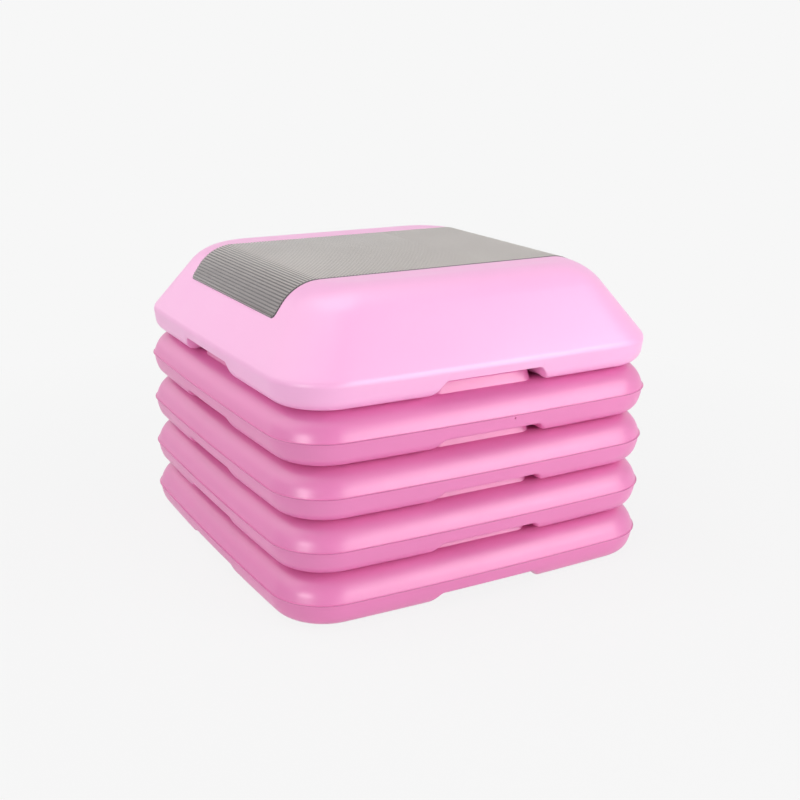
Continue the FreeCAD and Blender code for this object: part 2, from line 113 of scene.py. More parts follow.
def outline(side, corner, bow, inset=0):
    """Plan of a bowed square, moved inwards by inset, as one point for each column."""
    half = side / 2
    side_radius = ((half - corner) ** 2 + bow**2) / (2 * bow)
    back = side_radius - half
    corner_centre = (math.sqrt(2 * (side_radius - corner) ** 2 - back**2) - back) / 2
    half_angle = math.atan2(corner_centre, corner_centre + back)
    corner_angle = QUARTER_TURN - 2 * half_angle
    points = []
    for quarter in range(QUARTERS):
        turn = Matrix.Rotation(quarter * QUARTER_TURN, 2)
        for place in along:
            angle = half_angle * place / along[-1]
            reach = side_radius - inset
            points.append(turn @ Vector((reach * math.cos(angle) - back, reach * math.sin(angle))))
        for step in range(1, CORNER_STEPS):
            angle = half_angle + corner_angle * step / CORNER_STEPS
            spot = Vector((math.cos(angle), math.sin(angle))) * (corner - inset)
            points.append(turn @ (Vector((corner_centre, corner_centre)) + spot))
    return points


def shrunk_outline(side, corner, bow, inset, land):
    """Outline moved inwards; past the land it only shrinks, so that its corners stay round."""
    if inset <= land:
        return outline(side, corner, bow, inset)
    shrink = (side / 2 - inset) / (side / 2 - land)
    return [point * shrink for point in outline(side, corner, bow, land)]


print("columns round each moulding:", QUARTERS * (len(along) + CORNER_STEPS - 1))

# %% [markdown]
# A moulding is built ring by ring: a circle is laid on the first ring's points, its edge is extruded, the
# new edge is laid on the next ring's points, and so on from the middle of the underside round the edge to
# the middle of the top. A loft would do the same, but the extrusion keeps the columns lined up without
# any settings. The rings come from a section, which is a list of stations, each an inset from the outline
# and a height. Round stretches of a section are bends.

# %% Rings to a shell
UPRIGHT = 90


def ring_shell(rings):
    """Closed bmesh through rings, each a list of plan points with one height, in millimetres."""
    bm = bmesh.new()
    column = bm.verts.layers.int.new("column")
    verts = bmesh.ops.create_circle(bm, segments=len(rings[0][0]), radius=1)["verts"]
    for index, vert in enumerate(verts):
        vert[column] = index
    edge_loop = list(bm.edges)
    bmesh.ops.edgeloop_fill(bm, edges=edge_loop)
    for number, (points, height) in enumerate(rings):
        if number:
            grown = bmesh.ops.extrude_edge_only(bm, edges=edge_loop)["geom"]
            verts = [item for item in grown if isinstance(item, bmesh.types.BMVert)]
            edge_loop = [item for item in grown if isinstance(item, bmesh.types.BMEdge)]
        for vert in verts:
            point = points[vert[column]]
            vert.co = Vector((point.x, point.y, height)) * MM
    bmesh.ops.edgeloop_fill(bm, edges=edge_loop)
    bmesh.ops.recalc_face_normals(bm, faces=bm.faces)
    return bm


def bend(centre, radius, start, end, count, upwards):
    """Stations of an arc in a section; its angles rise from level to upright."""
    inset, height = centre
    angles = [math.radians(start + (end - start) * step / count) for step in range(count + 1)]
    way = 1 if upwards else -1
    return [
        (inset - radius * math.cos(angle), height + way * radius * math.sin(angle)) for angle in angles
    ]


def edge_centre(level, seam, draft, radius, upwards):
    """Centre of the arc that joins a drafted wall, which starts at the seam, to a level face."""
    way = 1 if upwards else -1
    slope = math.radians(draft)
    height = level - way * radius
    touch = height + way * radius * math.sin(slope)
    return abs(touch - seam) * math.tan(slope) + radius * math.cos(slope), height


sample = bend((1, 0), 1, 0, UPRIGHT, 2, upwards=True)
print("stations of a quarter bend:", [(round(inset, 2), round(height, 2)) for inset, height in sample])

# %% [markdown]
# The notches are pressed into the finished rings rather than cut. Each is a height over the plan, and a
# smooth maximum lets it swell out of the surface with a rounded lip, which is how a blown wall follows
# its mould. A Boolean would leave a knife edge here, and the lips catch the light in the photograph.

# %% Notches
BASE = 1.5
NOTCH_TOP_HALF = 50
NOTCH_FOOT_HALF = 68
NOTCH_DEPTH = 85
NOTCH_WALL = 4
NOTCH_CLEAR = 1
LIP = 4


def swell(first, second, reach):
    """Maximum of two heights, rounded where they are closer than reach."""
    close = max(reach - abs(first - second), 0)
    return max(first, second) + close * close / (4 * reach)


def ease(value):
    """Smooth step from 0 to 1."""
    clamped = min(max(value, 0), 1)
    return clamped * clamped * (3 - 2 * clamped)


def notch_roof(x, y, side, height):
    """Height of the notch's roof over a point; well under the base where there is no notch."""
    across, out = (x, abs(y)) if abs(y) > abs(x) else (y, abs(x))
    end = 1 - ease((abs(across) - NOTCH_TOP_HALF) / (NOTCH_FOOT_HALF - NOTCH_TOP_HALF))
    wall = ease((out - (side / 2 - NOTCH_DEPTH)) / NOTCH_WALL)
    return BASE - LIP + (height + LIP) * end * wall


def press_notches(bm, side, widest, height):
    """Raise the underside of a form, below the height of its widest outline, into its four notches."""
    for vert in bm.verts:
        x, y, z = vert.co / MM
        if z < widest - NOTCH_CLEAR:
            vert.co.z = swell(z, notch_roof(x, y, side, height), LIP) * MM


print("notch:", 2 * NOTCH_TOP_HALF, "mm wide under its roof,", 2 * NOTCH_FOOT_HALF, "mm at its foot")

# %% [markdown]
# A riser has two drafted halves that meet at the parting line, where the mould pinched a thin fin of
# flash. Its upper edge is a wide round shoulder and its lower edge a tighter hem, so the stack reads as a
# row of soft rolls. Between the hem and the flash the lower wall bellies out a little, as the photograph
# shows by the slow change of its shading, so an arc takes the place of a straight wall there.

# %% Riser's section
RISE = 50.8
PARTING = 26.5
UPPER_DRAFT = 18
LOWER_DRAFT = 12
SHOULDER = 28
SHOULDER_STEPS = 26
HEM = 16
HEM_STEPS = 20
BELLY_FOOT = 21
BELLY_STEPS = 8
# The flash stands proud of the parting line, and the walls above and below it start a little inside
FLASH_PROUD = 1.2
FLASH_HALF = 0.45
FLASH_ROUND = 0.8
FLASH_ROOT = 0.1
ROOT_INSET = 0.12
WALL_START = 1.4
LOWER_INSET = 0.35
UPPER_INSET = 0.38
# Insets of the rings under a piece, which crowd together where the back wall of a notch rises
INNER_RING = 96
UNDER_INSETS = (INNER_RING, 89, 86, *range(85, 79, -1), 77, *range(73, 33, -4))


def belly(low, high, foot, count):
    """Stations between two others, on the arc that leaves the lower one at the angle foot."""
    run, rise = low[0] - high[0], high[1] - low[1]
    head = 2 * math.degrees(math.atan2(run, rise)) - foot
    radius = math.hypot(run, rise) / (2 * math.sin(math.radians((foot - head) / 2)))
    lean = math.radians(foot)
    centre = (low[0] + radius * math.cos(lean), low[1] + radius * math.sin(lean))
    return bend(centre, radius, foot, head, count, upwards=False)[1:-1]


hem_centre = edge_centre(BASE, PARTING, LOWER_DRAFT, HEM, upwards=False)
shoulder_centre = edge_centre(RISE, PARTING, UPPER_DRAFT, SHOULDER, upwards=True)
flash_section = [
    (LOWER_INSET, PARTING - WALL_START),
    (ROOT_INSET, PARTING - FLASH_HALF - FLASH_ROOT),
    (-FLASH_PROUD * FLASH_ROUND, PARTING - FLASH_HALF * FLASH_ROUND),
    (-FLASH_PROUD, PARTING),
    (-FLASH_PROUD * FLASH_ROUND, PARTING + FLASH_HALF * FLASH_ROUND),
    (ROOT_INSET, PARTING + FLASH_HALF + FLASH_ROOT),
    (UPPER_INSET, PARTING + WALL_START),
]
under_land = [(inset, BASE) for inset in UNDER_INSETS]
hem_section = bend(hem_centre, HEM, UPRIGHT, BELLY_FOOT, HEM_STEPS, upwards=False)
belly_section = belly(hem_section[-1], flash_section[0], BELLY_FOOT, BELLY_STEPS)
shoulder_section = bend(shoulder_centre, SHOULDER, UPPER_DRAFT, UPRIGHT, SHOULDER_STEPS, upwards=True)
over_land = [(INNER_RING, RISE)]
riser_section = (
    under_land + hem_section + belly_section + flash_section + shoulder_section + over_land
)
print("stations in a riser's section:", len(riser_section))

# %% [markdown]
# The riser itself is the shell through the rings of that section, with the notches pressed in. All four
# risers come out of one mould, so one form is made here and copied later.

# %% Riser
RISER_SIDE = 415
RISER_CORNER = 56
RISER_BOW = 2.9
RISER_NOTCH = 11

riser_form = ring_shell(
    [
        (shrunk_outline(RISER_SIDE, RISER_CORNER, RISER_BOW, inset, shoulder_centre[0]), height)
        for inset, height in riser_section
    ]
)
press_notches(riser_form, RISER_SIDE, PARTING, RISER_NOTCH)
print("riser:", len(riser_form.faces), "faces")

# %% [markdown]
# The platform has a short drafted skirt, a soft ridge all round, and flanks that lean in to a wide round
# shoulder. Between the ridge and the top its outline slides from one bowed square to a smaller one, and
# the same slide carried on past the top's edge gives the shoulder its full, pillow-like corners.

# %% Platform's section
PLATFORM_HEIGHT = 99
PLATFORM_DRAFT = 8
PLATFORM_HEM = 14
SKIRT_STEPS = 22
RIDGE_HEIGHT = 27
RIDGE_RADIUS = 10
RIDGE_STEPS = 14
FLANK_RUN = 50
FLANK_STEPS = 8
TOP_RADIUS = 46
CROWN_STEPS = 30

flank_lean = math.degrees(math.atan2(FLANK_RUN, PLATFORM_HEIGHT - RIDGE_HEIGHT))
skirt_hem = edge_centre(BASE, RIDGE_HEIGHT, PLATFORM_DRAFT, PLATFORM_HEM, upwards=False)
skirt_section = bend(skirt_hem, PLATFORM_HEM, UPRIGHT, PLATFORM_DRAFT, SKIRT_STEPS, upwards=False)
ridge_bisector = math.radians((flank_lean - PLATFORM_DRAFT) / 2)
ridge_deep = RIDGE_RADIUS / math.cos(math.radians((flank_lean + PLATFORM_DRAFT) / 2))
ridge_centre = (
    ridge_deep * math.cos(ridge_bisector),
    RIDGE_HEIGHT - ridge_deep * math.sin(ridge_bisector),
)
ridge_section = bend(
    ridge_centre, RIDGE_RADIUS, -PLATFORM_DRAFT, flank_lean, RIDGE_STEPS, upwards=True
)
top_centre = edge_centre(PLATFORM_HEIGHT, RIDGE_HEIGHT, flank_lean, TOP_RADIUS, upwards=True)
crown_section = bend(top_centre, TOP_RADIUS, flank_lean, UPRIGHT, CROWN_STEPS, upwards=True)
flank_section = [
    tuple(low + (high - low) * share for low, high in zip(ridge_section[-1], crown_section[0]))
    for share in stops(0, 1, FLANK_STEPS)[1:]
]
print("flanks lean in by", round(flank_lean, 1), "degrees")

# %% [markdown]
# Below the ridge the rings are insets of one outline, as on a riser. Above it they lie on the slide from
# the ridge to the top, where an inset says how far along the slide a ring is.

# %% Platform
PLATFORM_SIDE = 410
PLATFORM_CORNER = 56
PLATFORM_BOW = 1.5
PLATFORM_NOTCH = 15.6
SKIRT_LAND = 20
TOP_SIDE = PLATFORM_SIDE - 2 * FLANK_RUN
TOP_CORNER = 42
TOP_BOW = 0.6

ridge_outline = outline(PLATFORM_SIDE, PLATFORM_CORNER, PLATFORM_BOW)
top_outline = outline(TOP_SIDE, TOP_CORNER, TOP_BOW)


def skirt_ring(inset):
    """Platform's outline below the ridge."""
    return shrunk_outline(PLATFORM_SIDE, PLATFORM_CORNER, PLATFORM_BOW, inset, SKIRT_LAND)


def flank_ring(inset):
    """Platform's outline above the ridge, on the straight slide from the ridge to the top."""
    share = inset / FLANK_RUN
    return [low.lerp(high, share) for low, high in zip(ridge_outline, top_outline)]


lower_rings = [(skirt_ring(inset), height) for inset, height in under_land + skirt_section]
upper_section = ridge_section + flank_section + crown_section
upper_rings = [(flank_ring(inset), height) for inset, height in upper_section]
platform_form = ring_shell(lower_rings + upper_rings)
press_notches(platform_form, PLATFORM_SIDE, RIDGE_HEIGHT, PLATFORM_NOTCH)
print("platform:", len(platform_form.faces), "faces")

# %% [markdown]
# Some forms do have a crisp edge: the keys that stand on a riser, the bed that the mat is laid in, the
# seats of the feet, and the small hole that the blowing needle leaves under the parting line. These come
# from a Boolean. The modifier's result is read back into a bmesh at once, so that nothing is left live on
# the piece.

# %% Boolean
SOLVER = "EXACT"


def combine(bm, other, operation):
    """Boolean of two closed forms, as a new bmesh; both forms are used up."""
    holders = []
    for part in (bm, other):
        mesh = bpy.data.meshes.new("carving")
        part.to_mesh(mesh)
        part.free()
        holders.append(bpy.data.objects.new("carving", mesh))
        scene.collection.objects.link(holders[-1])
    body, tool = holders
    cut = body.modifiers.new("cut", "BOOLEAN")
    cut.operation = operation
    cut.solver = SOLVER
    cut.object = tool
    bpy.context.view_layer.update()
    solved = body.evaluated_get(bpy.context.evaluated_depsgraph_get())
    result = bpy.data.meshes.new_from_object(solved)
    combined = bmesh.new()
    combined.from_mesh(result)
    for mesh in (body.data, tool.data, result):
        bpy.data.meshes.remove(mesh)
    return combined


print("Boolean solver:", SOLVER)

# %% [markdown]
# Each side of a riser carries a key that fills the socket of the piece above, so that the stack can't
# slide. It is a low pad with drafted sides and a rounded upper edge, built from rings like the mouldings
# and joined to the riser. Its front stands close behind the notch, where the photograph shows it as a
# bright strip.

# %% Keys
KEY_INSET = 23
KEY_HALF = 57
KEY_DEPTH = 56
KEY_HEIGHT = 10.4
KEY_CORNER = 12
KEY_DRAFT = 16
KEY_ROUND = 2.5
KEY_ROUND_STEPS = 10
KEY_ROOT = 4
PAD_STEPS = 8


def pad_outline(half_length, half_depth, corner):
    """Plan of a rectangle with round corners."""
    points = []
    for quarter, (way_x, way_y) in enumerate(((1, 1), (-1, 1), (-1, -1), (1, -1))):
        centre = Vector((way_x * (half_length - corner), way_y * (half_depth - corner)))
        for step in range(PAD_STEPS + 1):
            angle = (quarter + step / PAD_STEPS) * QUARTER_TURN
            points.append(centre + corner * Vector((math.cos(angle), math.sin(angle))))
    return points


key_centre = edge_centre(KEY_HEIGHT, 0, KEY_DRAFT, KEY_ROUND, upwards=True)
key_root = (-KEY_ROOT * math.tan(math.radians(KEY_DRAFT)), -KEY_ROOT)
key_round = bend(key_centre, KEY_ROUND, KEY_DRAFT, UPRIGHT, KEY_ROUND_STEPS, upwards=True)
key_form = ring_shell(
    [
        (pad_outline(KEY_HALF - inset, KEY_DEPTH / 2 - inset, KEY_CORNER - inset), RISE + height)
        for inset, height in [key_root] + key_round
    ]
)
key_middle = KEY_INSET + KEY_DEPTH / 2 - RISER_SIDE / 2
bmesh.ops.translate(key_form, vec=(0, key_middle * MM, 0), verts=key_form.verts)
bmesh.ops.spin(
    key_form,
    geom=key_form.verts[:] + key_form.edges[:] + key_form.faces[:],
    cent=(0, 0, 0),
    axis=(0, 0, 1),
    angle=QUARTER_TURN * (QUARTERS - 1),
    steps=QUARTERS - 1,
    use_duplicate=True,
)
riser_form = combine(riser_form, key_form, "UNION")
print("riser with its keys:", len(riser_form.faces), "faces")

# %% [markdown]
# The feet are pushed into shallow round seats under every piece. The needle's hole is on one side only,
# and the photograph shows it at the middle of a riser's front, so the same cutter serves all four risers,
# and each riser is turned later.

# %% Seats and vent
FOOT_SEAT_RADIUS = 20.3
FOOT_SEAT_TOP = 4
FOOT_OUT = 135
SEAT_SEGMENTS = 64
VENT_RADIUS = 0.9
VENT_DEPTH = 3
VENT_ALONG = 21
VENT_DROP = 3
VENT_SEGMENTS = 24
# How far a cutter runs past the surface that it cuts
OVERRUN = 5


def post(bm, radius, ends, place, turn, segments):
    """Closed round post between two distances along its own axis, set at a place."""
    low, high = ends
    middle = Matrix.Translation((0, 0, (low + high) / 2 * MM))
    bmesh.ops.create_cone(
        bm,
        cap_ends=True,
        segments=segments,
        radius1=radius * MM,
        radius2=radius * MM,
        depth=(high - low) * MM,
        matrix=Matrix.Translation(Vector(place) * MM) @ turn @ middle,
    )


upright = Matrix.Identity(4)
seats = bmesh.new()
for quarter in range(QUARTERS):
    spot = Matrix.Rotation(quarter * QUARTER_TURN, 3, "Z") @ Vector((FOOT_OUT, FOOT_OUT, 0))
    post(seats, FOOT_SEAT_RADIUS, (-OVERRUN, FOOT_SEAT_TOP), spot, upright, SEAT_SEGMENTS)
platform_seats = seats.copy()
facing_front = Matrix.Rotation(QUARTER_TURN, 4, "X")
vent_place = (VENT_ALONG, -RISER_SIDE / 2, PARTING - VENT_DROP)
post(seats, VENT_RADIUS, (-VENT_DEPTH, OVERRUN), vent_place, facing_front, VENT_SEGMENTS)
riser_form = combine(riser_form, seats, "DIFFERENCE")
platform_form = combine(platform_form, platform_seats, "DIFFERENCE")
print("carved:", len(riser_form.faces), "and", len(platform_form.faces), "faces")

# %% [markdown]
# The mat is a strip of ribbed rubber that follows the platform's section from one flank over the top to
# the other. Any point of it is known by its distance along that section from the middle of the top, so
# the first step is to say where the platform's surface is at a distance, how far it leans there, and how
# wide the strip is.

# %% Mat's path
MAT_WIDTH = 212
MAT_FLANK = 15.3
MAT_CORNER = 5

shoulder_turn = math.radians(UPRIGHT - flank_lean)
top_flat = TOP_SIDE / 2 - TOP_RADIUS * math.tan(shoulder_turn / 2)
mat_half = top_flat + TOP_RADIUS * shoulder_turn + MAT_FLANK


def tilt(distance):
    """Angle by which the platform's section leans at a distance from the middle of its top."""
    return min(max(abs(distance) - top_flat, 0) / TOP_RADIUS, shoulder_turn)


def on_platform(distance, lift):
    """Place across and height over the platform's own floor, at a distance and a lift off the surface."""
    way = math.copysign(1, distance)
    far, angle = abs(distance), tilt(distance)
    past = max(far - top_flat - TOP_RADIUS * shoulder_turn, 0)
    radius = TOP_RADIUS + lift
    across = min(far, top_flat) + radius * math.sin(angle) + past * math.cos(angle)
    height = PLATFORM_HEIGHT - TOP_RADIUS + radius * math.cos(angle) - past * math.sin(angle)
    return way * across, height


def half_width(distance):
    """Half of the strip's width, which draws in round the corners of its ends."""
    into_corner = max(MAT_CORNER - mat_half + abs(distance), 0)
    return MAT_WIDTH / 2 - MAT_CORNER + math.sqrt(max(MAT_CORNER**2 - into_corner**2, 0))


print("mat:", round(2 * mat_half), "mm long over its section and", MAT_WIDTH, "mm wide")

# %% [markdown]
# The ribs run across the strip. Modelled ribs turn the light as the real ones do, which a bump on a
# smooth strip could not. One rib's section is enough, because it repeats at every pitch, and it is even
# on both sides of its crest. The strip's two ends are crests, so that it ends in a clean edge.

# %% Ribs
RIB_PITCH = 3.3
RIB_HEIGHT = 0.6
# Half of a rib, from the middle of its crest: shares of the pitch, and shares of the height below the crest
RIB_SECTION = ((0, 0), (0.1, 0), (0.2, 0.1), (0.27, 0.45), (0.34, 1), (0.5, 1))
END_RISE = 0.4
END_ANGLES = (0, 25, 45, 60, 75, 90)

rib_count = math.floor(mat_half / RIB_PITCH - 1 / 2)
last_groove = (rib_count + 1 / 2) * RIB_PITCH


def rib_sink(distance):
    """Share of the ribs' height by which the strip lies under their crests."""
    if abs(distance) > last_groove:
        return max(1 - (abs(distance) - last_groove) / END_RISE, 0)
    share = abs((distance / RIB_PITCH + 1 / 2) % 1 - 1 / 2)
    for (near, shallow), (far, deep) in zip(RIB_SECTION, RIB_SECTION[1:]):
        if near <= share <= far:
            return shallow + (deep - shallow) * (share - near) / (far - near)
    return 1


corner_sines = [math.sin(math.radians(angle)) for angle in END_ANGLES]
end_stops = [mat_half - MAT_CORNER * (1 - sine) for sine in corner_sines]
end_stops.insert(-1, last_groove + END_RISE)
both_ends = end_stops + [-place for place in end_stops]
rib_stops = [
    (rib + way * share) * RIB_PITCH
    for rib in range(-rib_count, rib_count + 1)
    for share, _ in RIB_SECTION
    for way in (-1, 1)
]
mat_stops = sorted({round(place, 3) for place in rib_stops + both_ends})
print("ribs:", 2 * rib_count + 1, "in", len(mat_stops), "columns")

# %% [markdown]
# A grid with one column for every stop is laid on the platform and extruded downwards, layer by layer,
# into a slab with a bevelled edge. The bed is cut with a plain strip of the same path, a little larger
# all round and wider at its mouth, so that the mat lies in it with an even gap. Two attributes are kept
# for the rubber's painted light: how much painted shade a point takes, which is its depth in a groove
# and full on the bevelled edge, and how level the strip is there, which paints its top paler.

# %% Mat and bed
MAT_PROUD = 0.4
MAT_THICK = 3
MAT_BOND = 0.3
MAT_GAP = 0.6
MAT_BEVEL = 1.2
MAT_RIM = 0.1
BED_LIP = 0.6
BED_STEPS = 90


def lay_strip(distances, layers):
    """Closed strip; a layer is its lift, its growth all round, its share of the ribs and its painted shade.
    """
    bm = bmesh.new()
    column = bm.verts.layers.int.new("column")
    side = bm.verts.layers.int.new("side")
    groove_and_edge_shade = bm.verts.layers.float.new("groove_and_edge_shade")
    top_light = bm.verts.layers.float.new("top_light")
    bmesh.ops.create_grid(bm, x_segments=len(distances) - 1, y_segments=1, size=1)
    for vert in bm.verts:
        vert[column] = round((vert.co.x + 1) / 2 * (len(distances) - 1))
        vert[side] = 1 if vert.co.y > 0 else -1
    sheet, verts = list(bm.faces), list(bm.verts)
    for number, (lift, growth, ribbed, edge_shade) in enumerate(layers):
        if number:
            grown = bmesh.ops.extrude_face_region(bm, geom=sheet)["geom"]
            sheet = [item for item in grown if isinstance(item, bmesh.types.BMFace)]
            verts = [item for item in grown if isinstance(item, bmesh.types.BMVert)]
        for vert in verts:
            distance = distances[vert[column]]
            sink = rib_sink(distance) * ribbed
            # Painted shade: points deep in a groove and on the bevelled edge are marked to be coloured
            # darker
            vert[groove_and_edge_shade] = max(sink, edge_shade)
            # Painted light: the level top of the strip is marked to be coloured paler
            vert[top_light] = 1 - tilt(distance) / shoulder_turn
            stretched = distance * (1 + growth / mat_half)
            across, height = on_platform(stretched, lift - sink * RIB_HEIGHT)
            vert.co = Vector((across, vert[side] * (half_width(distance) + growth), height)) * MM
    bmesh.ops.recalc_face_normals(bm, faces=bm.faces)
    return bm


# The last number of a layer is painted shade: the bevel and the sides of the mat are coloured as dark as a
# groove
mat_layers = (
    (MAT_PROUD, -MAT_BEVEL, 1, 0),
    (MAT_PROUD - MAT_RIM, MAT_RIM - MAT_BEVEL, 1, 1),
    (MAT_PROUD - MAT_BEVEL, 0, 0, 1),
    (-MAT_THICK, 0, 0, 1),
)
bed_layers = (
    (-MAT_THICK - MAT_BOND, MAT_GAP, 0, 0),
    (-BED_LIP, MAT_GAP, 0, 0),
    (2 * BED_LIP, MAT_GAP + 2 * BED_LIP, 0, 0),
)
bed_stops = sorted({*both_ends, *stops(-end_stops[0], end_stops[0], BED_STEPS)})
mat_form = lay_strip(mat_stops, mat_layers)
platform_form = combine(platform_form, lay_strip(bed_stops, bed_layers), "DIFFERENCE")
print("mat:", len(mat_form.faces), "faces; platform with its bed:", len(platform_form.faces))

# %% [markdown]
# Finishing a piece always takes the same steps: lift the form to its level in the stack, turn it as that
# riser is turned, make a mesh, shade it smooth but keep real creases, and let it ride on its body in
# place of the CAD node. The risers are turned so that only the top one shows its needle hole in front.

# %% Finish a piece
CREASE = math.radians(38)
RISER_TURNS = (1, 2, 1, 0)
pieces = {}


def finish_piece(name, bm, body, node):
    """Turn a form into a piece that rides on a body in place of a CAD node; the form is used up."""
    mesh = bpy.data.meshes.new(name)
    bm.to_mesh(mesh)
    bm.free()
    mesh.shade_smooth()
    mesh.set_sharp_from_angle(angle=CREASE)
    piece = bpy.data.objects.new(name, mesh)
    scene.collection.objects.link(piece)
    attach(piece, body)
    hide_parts(node)
    pieces[name] = piece


for number, quarter in enumerate(RISER_TURNS, start=1):
    form = riser_form.copy()
    level = Matrix.Translation((0, 0, (number - 1) * RISE * MM))
    turn = Matrix.Rotation(quarter * QUARTER_TURN, 4, "Z")
    bmesh.ops.transform(form, matrix=level @ turn, verts=form.verts)
    riser = f"riser_{number}"
    finish_piece(f"{riser}_moulding", form, riser, f"{riser}_shell")
riser_form.free()
for form in (platform_form, mat_form):
    bmesh.ops.translate(form, vec=(0, 0, len(RISER_TURNS) * RISE * MM), verts=form.verts)
finish_piece("platform_moulding", platform_form, "platform", "platform_shell")
finish_piece("ribbed_mat", mat_form, "platform", "step_mat")
print("pieces:", ", ".join(pieces))

# %% [markdown]
# Materials are node trees. Written out link by link they are hard to read, so a small class wraps one
# output socket: adding or multiplying two of them adds a Math node, and any other node comes from a
# single method.

# %% Shader helpers
WHITE_STEP = 255
# Numbers of the sockets that the Mix node uses for colours
MIX_FACTOR, MIX_FIRST, MIX_SECOND = 0, 6, 7
MIX_RESULT = 2


class Signal:
    """One output socket of a node tree, on which arithmetic adds Math nodes."""

    def __init__(self, finish, socket):
        self.finish = finish
        self.socket = socket

    def math(self, operation, *values):
        return self.finish.node("ShaderNodeMath", {"operation": operation}, dict(enumerate(values)))

    def __add__(self, other):
        return self.math("ADD", self, other)

    def __sub__(self, other):
        return self.math("SUBTRACT", self, other)

    def __rsub__(self, other):
        return self.math("SUBTRACT", other, self)

    def __mul__(self, other):
        return self.math("MULTIPLY", self, other)

    def __mod__(self, other):
        return self.math("FLOORED_MODULO", self, other)

    def __lt__(self, other):
        return self.math("LESS_THAN", self, other)

    def __abs__(self):
        return self.math("ABSOLUTE", self)

    __radd__ = __add__


class Finish:
    """A material whose Principled shader is fed by signals."""

    def __init__(self, name, **settings):
        self.material = bpy.data.materials.new(name)
        self.material.use_nodes = True
        self.tree = self.material.node_tree
        self.shader = self.tree.nodes["Principled BSDF"]
        self.place = self.node("ShaderNodeTexCoord", output="Object")
        self.set(self.shader, settings)

    def set(self, node, values):
        """Give values or links to a node's input sockets, named in words joined by underscores."""
        for key, value in values.items():
            socket = node.inputs[key if isinstance(key, int) else key.replace("_", " ")]
            if isinstance(value, Signal):
                self.tree.links.new(value.socket, socket)
            else:
                socket.default_value = value

    def node(self, kind, settings=None, sockets=None, output=0):
        """Any node: its settings are set first, then its sockets."""
        node = self.tree.nodes.new(kind)
        for key, value in (settings or {}).items():
            setattr(node, key, value)
        self.set(node, sockets or {})
        return Signal(self, node.outputs[output]) if node.outputs else node

    def noise(self, scale, detail=2):
        sockets = {"Vector": self.place, "Scale": scale, "Detail": detail}
        return self.node("ShaderNodeTexNoise", sockets=sockets)

    def attribute(self, name):
        return self.node("ShaderNodeAttribute", {"attribute_name": name}, output="Fac")

    def mix(self, factor, first, second):
        """Blend of two colours."""
        sockets = {MIX_FACTOR: factor, MIX_FIRST: first, MIX_SECOND: second}
        return self.node("ShaderNodeMix", {"data_type": "RGBA"}, sockets, output=MIX_RESULT)

    def bump(self, height, distance):
        return self.node("ShaderNodeBump", sockets={"Height": height, "Distance": distance})


def srgb(red, green, blue):
    """Linear colour of a display colour given in steps of 0 to 255."""
    steps = [value / WHITE_STEP for value in (red, green, blue)]
    linear = [step / 12.92 if step < 0.04045 else ((step + 0.055) / 1.055) ** 2.4 for step in steps]
    return (*linear, 1)


print("a display grey of 188 is", round(srgb(188, 188, 188)[0], 2), "in linear light")

# %% [markdown]
# The mouldings are polyethylene, coloured right through, with a satin skin. On the real pieces the
# pigment is a little cloudy, the skin has a fine grain from the mould, and the large walls ripple
# slightly where they cooled. All three come from noise on Object coordinates, at their own scales. A thin
# line of painted shade sits just under the flash, so the risers' colour darkens a little below the parting
# line, which comes again at every riser up the stack.

# %% Moulded plastic
CLOUD_SCALE = 7
GRAIN_SCALE = 1400
GRAIN_SHARE = 0.12
RIPPLE_SCALE = 24
SKIN_RELIEF = 0.2 * MM
GLOSS_SCALE = 35
SATIN = 0.31
SATIN_SPREAD = 0.1
# The painted shade under the flash: its drop below the parting line, its half height and its share
FLASH_SHADE_DROP = 0.25
FLASH_SHADE_LEVEL = (PARTING - FLASH_SHADE_DROP) * MM
FLASH_SHADE_HALF = 0.55 * MM
FLASH_SHADE_SHARE = 0.55


def moulded_plastic(name, colour, blush, seam=None):
    """Satin polyethylene; seam is the colour of painted shade just under the parting lines of stacked
    pieces.
    """
    finish = Finish(name, Specular_IOR_Level=1)
    skin = finish.mix(finish.noise(CLOUD_SCALE), colour, blush)
    grain = finish.noise(GRAIN_SCALE, detail=1)
    ripple = finish.noise(RIPPLE_SCALE, detail=1)
    if seam:
        # Painted shade: a thin band just below each parting line is coloured darker, where the flash shades
        # it
        height = finish.node("ShaderNodeSeparateXYZ", sockets={"Vector": finish.place}, output="Z")
        from_flash_shade = abs(height % (RISE * MM) - FLASH_SHADE_LEVEL)
        skin = finish.mix((from_flash_shade < FLASH_SHADE_HALF) * FLASH_SHADE_SHARE, skin, seam)
    finish.set(
        finish.shader,
        {
            "Base_Color": skin,
            "Roughness": SATIN + finish.noise(GLOSS_SCALE, detail=3) * SATIN_SPREAD,
            "Normal": finish.bump(grain * GRAIN_SHARE + ripple, SKIN_RELIEF),
        },
    )
    return finish.material


platform_pink = moulded_plastic("platform_pink", srgb(248, 173, 222), srgb(250, 182, 226))
# The risers' last colour is the painted shade under the flash
riser_pink = moulded_plastic(
    "riser_pink", srgb(227, 120, 180), srgb(231, 128, 186), srgb(150, 52, 104)
)
print("plastics:", platform_pink.name, riser_pink.name)

# %% [markdown]
# The mat is grey rubber with a chalky bloom that varies at random. Its greys lean a little pink, which is
# painted bounce light from the mouldings. Light is painted on it as well: the level top is painted paler,
# and the grooves and the bevelled edge are painted darker as shade. Both follow the attributes that were
# kept when the strip was laid, so the colour goes with the ribs round the shoulders, which no flat
# projection would do. The feet are the same kind of rubber, nearly black.

# %% Rubber
BLOOM_SCALE = 14
BLOOM_SHARE = 0.3
TOP_LIGHT_SHARE = 0.7
SCUFF_SCALE = 60
MATT = 0.36
MATT_SPREAD = 0.12
PORE_SCALE = 2200
PORE_RELIEF = 0.06 * MM


